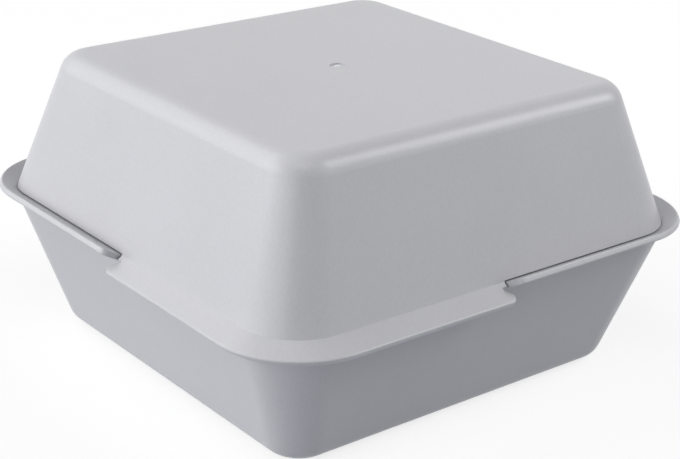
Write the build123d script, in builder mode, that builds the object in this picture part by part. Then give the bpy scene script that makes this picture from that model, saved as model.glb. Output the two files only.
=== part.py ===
"""Reusable meal box: two moulded plastic shells that meet at half height.

Each shell is a square tub with drafted walls and rounded corners. Round its open edge, two
opposite quarters carry a flared flange and the other two a plain stepped rim. The lid is turned
over, and its flanges hang outside the base's plain rims while the base's flanges cup the lid's,
so the flange changes over from one shell to the other near the middle of every side. There the
base's flanges end square with rounded corners, and the lid's in round fingers.

Units are millimetres. The box stands on the base's closed face, with the origin at its middle.
"""
from build123d import *

import os
from math import cos, radians, sin, tan

# The tub of either shell
parting_width = 144.2  # across the walls where the shells meet
half_height = 42.15  # closed face to the parting plane
draft = 18.0  # degrees that each wall leans out
wall = 1.7
floor = 1.7
parting_corner = 17.0  # radius of the upright corners at the parting plane
closed_corner = 10.0  # radius of the same corners at the closed face
closed_edge = 6.7  # rounding between the closed face and the walls

# The flanges, and the plain rims between them
flange_reach = 5.4  # from the walls at the parting plane out to the flange's free edge
flange_slope = 29.5  # degrees from level
flange_thickness = 1.75
flange_corner = 24.4  # radius of the flange's outer edge in plan
flange_edge = 0.5  # rounding along the flange's free edges
seat_step = 0.9  # plain rims stop this far short of the parting plane, ledges rise as far past it
relief_height = 0.45  # step round the outside of a plain rim, which leaves a shadow line
relief_depth = 0.6
rim_clearance = 0.45  # between a flange and the other shell's rim inside it

# The places where the flanges change over
changeover = 0.85  # from the middle of a side to the middle of the gap, towards the base's flange
end_gap = 0.4  # between the ends of the two shells' flanges
base_tip = 1.8  # rounding of the corners at the ends of the base's flanges
lid_finger = 2.1  # rounding of the fingers at the ends of the lid's flanges, half their width
finger_slot = 1.0  # between a finger and the strip left along the flange's root

# The moulding gate in the middle of each closed face
gate_dimple = 4.6  # diameter
gate_depth = 0.4
gate_nub = 1.6  # diameter
gate_nub_height = 0.3

# The wall in section
lean = tan(radians(draft))
wall_across = wall / cos(radians(draft))

# The flange in section, with levels from the parting plane: its inner face clears the stepped
# rim of the other shell, and its root is where its outer face meets its own wall
flange_width = parting_width + 2 * flange_reach
slope = radians(flange_slope)
rim_edge = seat_step + relief_height
root_drop = (rim_clearance + flange_thickness - rim_edge * (lean * sin(slope) + cos(slope))) / (
    cos(slope) - lean * sin(slope)
)
root_half = parting_width / 2 - root_drop * lean
edge_half = flange_width / 2 + flange_edge * (cos(slope) + sin(slope) - 1)
edge_level = (edge_half - root_half) * tan(slope) - root_drop
lip_half = edge_half - flange_thickness * sin(slope)
lip_level = edge_level + flange_thickness * cos(slope)
ledge_half = lip_half - (lip_level - seat_step) / tan(slope)

# The base opens upwards from the parting plane, and the lid is turned over about the X axis
base_parting = Plane.XY.offset(half_height)
lid_parting = Plane(origin=(0, 0, half_height), x_dir=(1, 0, 0), z_dir=(0, 0, -1))
base_flange_start = changeover + end_gap / 2
lid_flange_start = end_gap / 2 - changeover


def wall_half(level):
    """Half the width across the outside of the walls, at a level from the parting plane."""
    return parting_width / 2 + level * lean


def wall_corner(level):
    """Radius of the upright corners' outside, at that level."""
    return parting_corner + level * (parting_corner - closed_corner) / half_height


def rounded_square(plane, half_width, corner):
    """A level section with rounded corners."""
    with BuildSketch(plane) as square:
        RectangleRounded(2 * half_width, 2 * half_width, corner)
    return square.sketch


def bare_quarters(plane, flange_start):
    """Plan of the two quarters without a flange, up to flange_start from the middle lines."""
    reach = flange_width
    quarter = reach - flange_start
    middle = flange_start + quarter / 2
    with BuildSketch(plane) as quarters:
        Rectangle(2 * reach, 2 * reach)
        with Locations((middle, middle), (-middle, -middle)):
            Rectangle(quarter, quarter, mode=Mode.SUBTRACT)
    return quarters.sketch


def tub(parting, flange_start):
    """The drafted tub, still solid, with stepped plain rims in the bare quarters."""
    up = Axis(parting.origin, parting.z_dir)
    closed = rounded_square(parting.offset(-half_height), wall_half(-half_height), closed_corner)
    ledge = rounded_square(parting.offset(seat_step), wall_half(seat_step), wall_corner(seat_step))
    core_half = wall_half(-rim_edge) - relief_depth
    core = rounded_square(parting.offset(-rim_edge), core_half, wall_corner(-rim_edge) - relief_depth)
    with BuildPart() as relief:
        extrude(bare_quarters(parting.offset(-rim_edge), flange_start), amount=rim_edge)
        extrude(core, amount=rim_edge, mode=Mode.SUBTRACT)
    with BuildPart() as solid_tub:
        loft([closed, ledge], ruled=True)
        fillet(edges().group_by(up)[0], closed_edge)
        bare = bare_quarters(parting.offset(-seat_step), flange_start)
        extrude(bare, amount=2 * seat_step, mode=Mode.SUBTRACT)
        add(relief.part, mode=Mode.SUBTRACT)
    return solid_tub.part


def flange_ring(parting, ring_start):
    """The two flanges with rounded edges, up to where their ends begin to round."""
    up = Axis(parting.origin, parting.z_dir)
    root_corner = wall_corner(-root_drop)
    lip_corner = flange_corner - (edge_half - lip_half)
    ledge_corner = root_corner + ledge_half - root_half
    root = rounded_square(parting.offset(-root_drop), root_half, root_corner)
    edge = rounded_square(parting.offset(edge_level), edge_half, flange_corner)
    lip = rounded_square(parting.offset(lip_level), lip_half, lip_corner)
    ledge = rounded_square(parting.offset(seat_step), ledge_half, ledge_corner)
    with BuildPart() as ring:
        loft([root, edge], ruled=True)
        loft([edge, lip], ruled=True)
        loft([ledge, lip], ruled=True, mode=Mode.SUBTRACT)
        for level in (edge_level, lip_level):
            rim = edges().filter_by_position(up, level - flange_edge / 10, level + flange_edge / 10)
            fillet(rim, flange_edge)
        bare = bare_quarters(parting.offset(-root_drop), ring_start)
        extrude(bare, amount=root_drop + lip_level, mode=Mode.SUBTRACT)
    return ring.part


def flange_ends(parting, flange_start, tip_radius, strip_start, finger):
    """The rounded ends of the flanges: one is made on the sloping flange, and mirrored for the rest.

    The strip along the root starts that far behind the middle of the rounding, and a finger is
    rounded on both sides of it.
    """
    outward = parting.x_dir * cos(slope) + parting.z_dir * sin(slope)
    upward = parting.z_dir * cos(slope) - parting.x_dir * sin(slope)
    tip_half = edge_half - tip_radius * cos(slope)
    tip_level = edge_level - tip_radius * sin(slope)
    tip = parting.from_local_coords(Vector(tip_half, flange_start + tip_radius, tip_level))
    across_end = Plane(origin=tip, x_dir=-parting.y_dir, z_dir=-outward)
    profiles = []
    for plane in (across_end, across_end.offset(strip_start)):
        with BuildSketch(plane) as profile:
            Rectangle(tip_radius, flange_thickness, align=Align.MIN)
            fillet(profile.vertices().group_by(Axis.X)[-1], flange_edge)
        profiles.append(profile.sketch)
    with BuildPart() as ends:
        revolve(profiles[0], axis=Axis(tip, upward), revolution_arc=90)
        if finger:
            mirror(about=Plane(origin=tip, z_dir=outward))
        extrude(profiles[1], amount=(tip_half - root_half) / cos(slope) - strip_start)
        mirror(about=Plane(origin=parting.origin, z_dir=parting.x_dir - parting.y_dir))
        mirror(about=Plane(origin=parting.origin, z_dir=parting.x_dir + parting.y_dir))
    return ends.part


def hollow(parting):
    """Hollow the tub that is being built, through its rims and ledges."""
    up = Axis(parting.origin, parting.z_dir)
    floor_level = floor - half_height
    sections = []
    for level in (floor_level, lip_level):
        inner_half = wall_half(level) - wall_across
        sections.append(rounded_square(parting.offset(level), inner_half, wall_corner(level) - wall_across))
    loft(sections, ruled=True, mode=Mode.SUBTRACT)
    inside = edges().filter_by_position(up, floor_level - floor / 4, floor_level + floor / 4)
    fillet(inside, closed_edge - floor)


def gate_mark(parting):
    """Sink a shallow dimple into the closed face, with the gate's nub standing short of its brim."""
    closed_face = parting.offset(-half_height)
    with BuildSketch(closed_face) as dimple:
        Circle(gate_dimple / 2)
    extrude(dimple.sketch, amount=gate_depth, mode=Mode.SUBTRACT)
    with BuildSketch(closed_face.offset(gate_depth - gate_nub_height)) as nub:
        Circle(gate_nub / 2)
    extrude(nub.sketch, amount=gate_nub_height)


os.makedirs("parts", exist_ok=True)

with BuildPart() as base:
    add(tub(base_parting, base_flange_start))
    add(flange_ring(base_parting, base_flange_start + base_tip))
    add(flange_ends(base_parting, base_flange_start, base_tip, strip_start=0, finger=False))
    hollow(base_parting)
    gate_mark(base_parting)
base.part.label = "base"
export_step(base.part, "parts/base.step")

with BuildPart() as lid:
    add(tub(lid_parting, lid_flange_start))
    add(flange_ring(lid_parting, lid_flange_start + lid_finger))
    strip_start = lid_finger + finger_slot
    add(flange_ends(lid_parting, lid_flange_start, lid_finger, strip_start, finger=True))
    hollow(lid_parting)
    gate_mark(lid_parting)
lid.part.label = "lid"
export_step(lid.part, "parts/lid.step")
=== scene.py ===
from math import cos, radians, sin

import bpy
from mathutils import Matrix, Vector


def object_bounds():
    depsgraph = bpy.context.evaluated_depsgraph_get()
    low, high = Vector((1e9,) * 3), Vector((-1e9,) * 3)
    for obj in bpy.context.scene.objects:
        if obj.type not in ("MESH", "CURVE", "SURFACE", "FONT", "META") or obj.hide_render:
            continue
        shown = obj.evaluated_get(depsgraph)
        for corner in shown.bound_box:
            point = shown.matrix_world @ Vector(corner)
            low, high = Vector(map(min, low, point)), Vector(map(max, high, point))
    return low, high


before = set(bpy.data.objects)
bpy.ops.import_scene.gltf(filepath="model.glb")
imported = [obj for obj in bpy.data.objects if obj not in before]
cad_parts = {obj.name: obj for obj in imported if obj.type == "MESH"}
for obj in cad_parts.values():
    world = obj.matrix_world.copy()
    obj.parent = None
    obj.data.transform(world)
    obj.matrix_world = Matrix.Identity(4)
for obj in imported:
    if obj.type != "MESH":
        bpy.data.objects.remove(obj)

cad_low, cad_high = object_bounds()

# Camera, fitted to the photograph's outline of the box
CAMERA_PLACE = Vector((0.35785, -0.28456, 0.22084))
CAMERA_AZIMUTH = radians(51.271)
CAMERA_ELEVATION = radians(22.222)
CAMERA_ROLL = radians(1.513)
CAMERA_LENS = 88.74  # mm
CAMERA_SENSOR = 36.0  # mm wide
CAMERA_NEAR = 0.01

# A white floor round the box
FLOOR_HALF = 4.0
FLOOR_DROP = 0.0002  # keeps the floor just clear of the foot
FLOOR_COLOUR = (0.40, 0.42, 0.47)  # what it throws back on the box, a little cool
FLOOR_GLOW = 0.78  # what the camera sees of the floor in full shadow
FLOOR_LIT = 0.30  # and how much of the lamps' light it adds to that
FLOOR_FADE = (0.2, 0.8)  # distances from the box between which the floor goes over to plain white

# Soft studio lamps, as (name, place, width, height, watts), and a faint even surround
LAMP_TARGET = Vector((0.0, 0.0, 0.042))
LAMPS = (
    ("left_key", (-1.55, -1.39, 1.4), 2.0, 2.0, 18.6),
    ("left_top", (-1.7, -0.55, 1.6), 1.1, 1.1, 6.0),
    ("front_fill", (-0.45, -2.36, 0.9), 4.8, 1.8, 54.0),
    ("camera_top", (0.45, -0.45, 1.5), 0.8, 0.8, 2.7),
    ("right_edge", (0.52, 0.76, 0.79), 0.36, 0.62, 4.7),
    ("right_fill", (0.95, 0.80, 0.62), 1.2, 1.2, 3.2),
)
WORLD_LEVEL = 0.05
WHITE = (1.0, 1.0, 1.0, 1.0)

# Moulded polypropylene. A noise is given as features per metre and detail
PLASTIC_COLOUR = (0.60, 0.60, 0.63)
PLASTIC_IOR = 1.49
PLASTIC_SPECULAR = 0.54
PLASTIC_ROUGHNESS = (0.33, 0.39)
NOISE_MIDDLE = (0.25, 0.75)  # nearly all of a noise lies between these
CLOUDS = (28.0, 3.0)
CLOUD_TONE = (0.975, 1.025)
SPECKS = (1500.0, 2.0)
SPECK_TONE = (0.97, 1.03)
SINKS = (35.0, 1.0)  # slow waves in the walls
SINK_DEPTH = 0.0004
SINK_STRENGTH = 0.3
GRAIN = (2600.0, 2.0)  # the mould's spark-eroded texture
GRAIN_DEPTH = 0.00003
GRAIN_STRENGTH = 0.5
GATE_BLUSH = 1.5  # the plastic is whiter where each gate was cut
GATE_BLUSH_RADIUS = 0.0022
GAP_REACH = 0.0015  # painted shade: the plastic's colour is darkened in gaps narrower than this
GAP_SAMPLES = 8
GAP_OPENNESS = (0.1, 0.4)  # from a closed gap to one that gets no painted shade
# how dark the painted shade makes the colour, from a closed gap to an open one
GAP_SHADE_TONE = (0.2, 1.0)


def place_camera():
    """Point the camera as the photograph was taken."""
    back = Vector((
        sin(CAMERA_AZIMUTH) * cos(CAMERA_ELEVATION),
        -cos(CAMERA_AZIMUTH) * cos(CAMERA_ELEVATION),
        sin(CAMERA_ELEVATION),
    ))
    level_right = Vector((cos(CAMERA_AZIMUTH), sin(CAMERA_AZIMUTH), 0.0))
    level_up = back.cross(level_right)
    right = level_right * cos(CAMERA_ROLL) + level_up * sin(CAMERA_ROLL)
    up = level_up * cos(CAMERA_ROLL) - level_right * sin(CAMERA_ROLL)
    data = bpy.data.cameras.new("camera")
    data.sensor_width = CAMERA_SENSOR
    data.lens = CAMERA_LENS
    data.clip_start = CAMERA_NEAR
    camera = bpy.data.objects.new("camera", data)
    turn = Matrix((right, up, back)).transposed().to_4x4()
    camera.matrix_world = Matrix.Translation(CAMERA_PLACE) @ turn
    bpy.context.scene.collection.objects.link(camera)
    bpy.context.scene.camera = camera


def combined(nodes, links, operation, first, second):
    """Two numbers put together by a math node."""
    node = nodes.new("ShaderNodeMath")
    node.operation = operation
    links.new(first, node.inputs[0])
    links.new(second, node.inputs[1])
    return node.outputs[0]


def mapped(nodes, links, value, source, result, interpolation="LINEAR"):
    """A number carried over from one range to another."""
    node = nodes.new("ShaderNodeMapRange")
    node.interpolation_type = interpolation
    ends = ("From Min", "From Max", "To Min", "To Max")
    for end, number in zip(ends, (*source, *result)):
        node.inputs[end].default_value = number
    links.new(value, node.inputs["Value"])
    return node.outputs["Result"]


def length(nodes, links, vector):
    """How long a vector is."""
    node = nodes.new("ShaderNodeVectorMath")
    node.operation = "LENGTH"
    links.new(vector, node.inputs[0])
    return node.outputs["Value"]


def noise(nodes, links, coordinates, scale, detail):
    """A noise texture over the piece, in features per metre."""
    texture = nodes.new("ShaderNodeTexNoise")
    texture.inputs["Scale"].default_value = scale
    texture.inputs["Detail"].default_value = detail
    links.new(coordinates, texture.inputs["Vector"])
    return texture.outputs["Fac"]


def mixed(nodes, links, share, first, second):
    """Two shaders, with that share of the second."""
    node = nodes.new("ShaderNodeMixShader")
    for source, socket in zip((share, first, second), node.inputs):
        links.new(source, socket)
    return node.outputs[0]


def background_rays(nodes, links):
    """A socket that is 1 for rays that see the plain white: from the camera, a gloss or clear plastic."""
    path = nodes.new("ShaderNodeLightPath")
    seen = path.outputs["Is Camera Ray"]
    for kind in ("Is Glossy Ray", "Is Transmission Ray"):
        seen = combined(nodes, links, "MAXIMUM", seen, path.outputs[kind])
    return seen


def light_studio():
    """White to the camera, a faint even surround for the box, and the lamps."""
    world = bpy.data.worlds.new("studio")
    bpy.context.scene.world = world
    world.use_nodes = True
    nodes, links = world.node_tree.nodes, world.node_tree.links
    nodes.clear()
    surround = nodes.new("ShaderNodeBackground")
    surround.inputs["Strength"].default_value = WORLD_LEVEL
    white = nodes.new("ShaderNodeBackground")
    for background in (surround, white):
        background.inputs["Color"].default_value = WHITE
    output = nodes.new("ShaderNodeOutputWorld")
    seen = background_rays(nodes, links)
    links.new(mixed(nodes, links, seen, surround.outputs[0], white.outputs[0]), output.inputs["Surface"])
    for name, place, width, height, watts in LAMPS:
        data = bpy.data.lights.new(name, "AREA")
        data.shape = "RECTANGLE"
        data.size = width
        data.size_y = height
        data.energy = watts
        lamp = bpy.data.objects.new(name, data)
        aim = LAMP_TARGET - Vector(place)
        lamp.location = place
        lamp.rotation_euler = aim.to_track_quat("-Z", "Y").to_euler()
        bpy.context.scene.collection.objects.link(lamp)


def floor_white():
    """Pale to the box. The camera sees its shadow there, fading out into plain white."""
    material = bpy.data.materials.new("floor_white")
    material.use_nodes = True
    nodes, links = material.node_tree.nodes, material.node_tree.links
    nodes.clear()
    diffuse = nodes.new("ShaderNodeBsdfDiffuse")
    diffuse.inputs["Color"].default_value = (*FLOOR_COLOUR, 1.0)
    faint = nodes.new("ShaderNodeBsdfDiffuse")
    faint.inputs["Color"].default_value = (FLOOR_LIT, FLOOR_LIT, FLOOR_LIT, 1.0)
    glow = nodes.new("ShaderNodeEmission")
    glow.inputs["Strength"].default_value = FLOOR_GLOW
    near = nodes.new("ShaderNodeAddShader")
    links.new(faint.outputs[0], near.inputs[0])
    links.new(glow.outputs[0], near.inputs[1])
    far = nodes.new("ShaderNodeEmission")
    distance = length(nodes, links, nodes.new("ShaderNodeTexCoord").outputs["Object"])
    fade = mapped(nodes, links, distance, FLOOR_FADE, (0.0, 1.0), "SMOOTHSTEP")
    seen = mixed(nodes, links, fade, near.outputs[0], far.outputs[0])
    surface = mixed(nodes, links, background_rays(nodes, links), diffuse.outputs[0], seen)
    output = nodes.new("ShaderNodeOutputMaterial")
    links.new(surface, output.inputs["Surface"])
    return material


def lay_floor():
    """Lay the floor under the box."""
    corners = [(-FLOOR_HALF, -FLOOR_HALF), (FLOOR_HALF, -FLOOR_HALF),
               (FLOOR_HALF, FLOOR_HALF), (-FLOOR_HALF, FLOOR_HALF)]
    mesh = bpy.data.meshes.new("floor")
    mesh.from_pydata([(x, y, cad_low.z - FLOOR_DROP) for x, y in corners], [], [(0, 1, 2, 3)])
    mesh.materials.append(floor_white())
    floor = bpy.data.objects.new("floor", mesh)
    bpy.context.scene.collection.objects.link(floor)


def gate_blush(nodes, links, coordinates):
    """Brightens the plastic round the upright axis, where both gates were cut."""
    across = nodes.new("ShaderNodeVectorMath")
    across.operation = "MULTIPLY"
    across.inputs[1].default_value = (1.0, 1.0, 0.0)
    links.new(coordinates, across.inputs[0])
    from_gate = length(nodes, links, across.outputs["Vector"])
    return mapped(nodes, links, from_gate, (0.0, GATE_BLUSH_RADIUS), (GATE_BLUSH, 1.0), "SMOOTHSTEP")


def painted_gap_shade(nodes, links):
    """Painted shade: darkens the plastic's colour inside narrow gaps, where shade falls."""
    gaps = nodes.new("ShaderNodeAmbientOcclusion")
    gaps.samples = GAP_SAMPLES
    gaps.inputs["Distance"].default_value = GAP_REACH
    return mapped(nodes, links, gaps.outputs["AO"], GAP_OPENNESS, GAP_SHADE_TONE)


def bump(nodes, links, height, depth, strength):
    """A bump node for that height."""
    node = nodes.new("ShaderNodeBump")
    node.inputs["Distance"].default_value = depth
    node.inputs["Strength"].default_value = strength
    links.new(height, node.inputs["Height"])
    return node


def moulded_plastic(name, colour):
    """Satin polypropylene: cloudy colour, spark-eroded grain, slow sinks in the walls, a gate blush and
    painted shade in narrow gaps.
    """
    material = bpy.data.materials.new(name)
    material.use_nodes = True
    nodes, links = material.node_tree.nodes, material.node_tree.links
    shader = nodes["Principled BSDF"]
    shader.inputs["IOR"].default_value = PLASTIC_IOR
    shader.inputs["Specular IOR Level"].default_value = PLASTIC_SPECULAR
    coordinates = nodes.new("ShaderNodeTexCoord").outputs["Object"]

    clouds = noise(nodes, links, coordinates, *CLOUDS)
    specks = noise(nodes, links, coordinates, *SPECKS)
    cloud_tone = mapped(nodes, links, clouds, NOISE_MIDDLE, CLOUD_TONE)
    speck_tone = mapped(nodes, links, specks, NOISE_MIDDLE, SPECK_TONE)
    tone = combined(nodes, links, "MULTIPLY", cloud_tone, speck_tone)
    blush = gate_blush(nodes, links, coordinates)
    # the gate blush, times the painted shade in narrow gaps
    blush_and_gap_shade = combined(nodes, links, "MULTIPLY", blush, painted_gap_shade(nodes, links))
    tint = nodes.new("ShaderNodeVectorMath")
    tint.operation = "SCALE"
    tint.inputs[0].default_value = colour
    links.new(combined(nodes, links, "MULTIPLY", tone, blush_and_gap_shade), tint.inputs["Scale"])
    links.new(tint.outputs["Vector"], shader.inputs["Base Color"])

    roughness = mapped(nodes, links, clouds, NOISE_MIDDLE, PLASTIC_ROUGHNESS)
    links.new(roughness, shader.inputs["Roughness"])

    sinks = bump(nodes, links, noise(nodes, links, coordinates, *SINKS), SINK_DEPTH, SINK_STRENGTH)
    grain = bump(nodes, links, noise(nodes, links, coordinates, *GRAIN), GRAIN_DEPTH, GRAIN_STRENGTH)
    links.new(sinks.outputs["Normal"], grain.inputs["Normal"])
    links.new(grain.outputs["Normal"], shader.inputs["Normal"])
    return material


def dress_shells():
    """Give both shells the same plastic."""
    plastic = moulded_plastic("shell_plastic", PLASTIC_COLOUR)
    for node in ("base", "lid"):
        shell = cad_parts[node]
        shell.data.materials.clear()
        shell.data.materials.append(plastic)


bpy.context.scene.view_settings.view_transform = "Standard"
place_camera()
light_studio()
lay_floor()
dress_shells()
